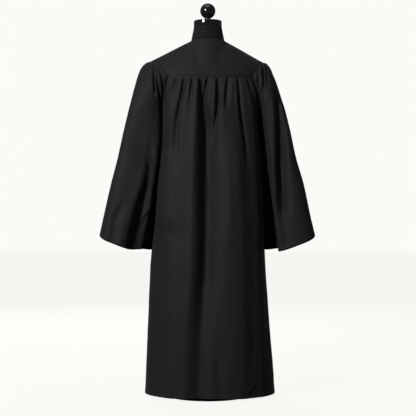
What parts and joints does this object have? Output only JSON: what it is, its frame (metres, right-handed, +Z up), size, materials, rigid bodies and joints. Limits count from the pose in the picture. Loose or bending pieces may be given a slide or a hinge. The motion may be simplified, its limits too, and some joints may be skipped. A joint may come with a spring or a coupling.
{
  "type": "graduation gown on a dress form",
  "caption": "Black full-length graduation gown with plain yoke, fluted body, bell sleeves and front zip, worn by a limbless dress form on a round base",
  "frame": {"origin": "on the floor, at the middle of the base's underside", "axes": "+Z up along the pole, the gown's front faces -Y and its back +Y, and the gown's left sleeve is at +X"},
  "size_m": [0.778, 0.3502, 1.429],
  "materials": {
    "gown_cloth": "matte black polyester, soft sheen",
    "zip_tape": "woven black tape with a black coil",
    "zip_metal": "black enamelled zip metal",
    "form_cover": "black stretch jersey",
    "form_gloss": "high-gloss black",
    "stand_paint": "satin black powder coat"
  },
  "bodies": {
    "gown_and_form": {"back_yoke": "gown_cloth", "front_yoke_left": "gown_cloth", "front_yoke_right": "gown_cloth", "back_panel": "gown_cloth", "front_panel_left": "gown_cloth", "front_panel_right": "gown_cloth", "sleeve_left": "gown_cloth", "sleeve_right": "gown_cloth", "zip_chain": "zip_tape", "zip_slider": "zip_metal", "form_torso": "form_cover", "neck_cap": "form_gloss", "finial": "form_gloss", "pole": "stand_paint", "base": "stand_paint"},
    "pull": {"zip_pull": "zip_metal"}
  },
  "joints": [
    {"name": "pull_hinge", "type": "hinge", "parent": "gown_and_form", "child": "pull", "pos_m": [0, -0.11628, 1.19362], "axis": [-1, 0, 0], "range_deg": [0, 150]}
  ]
}
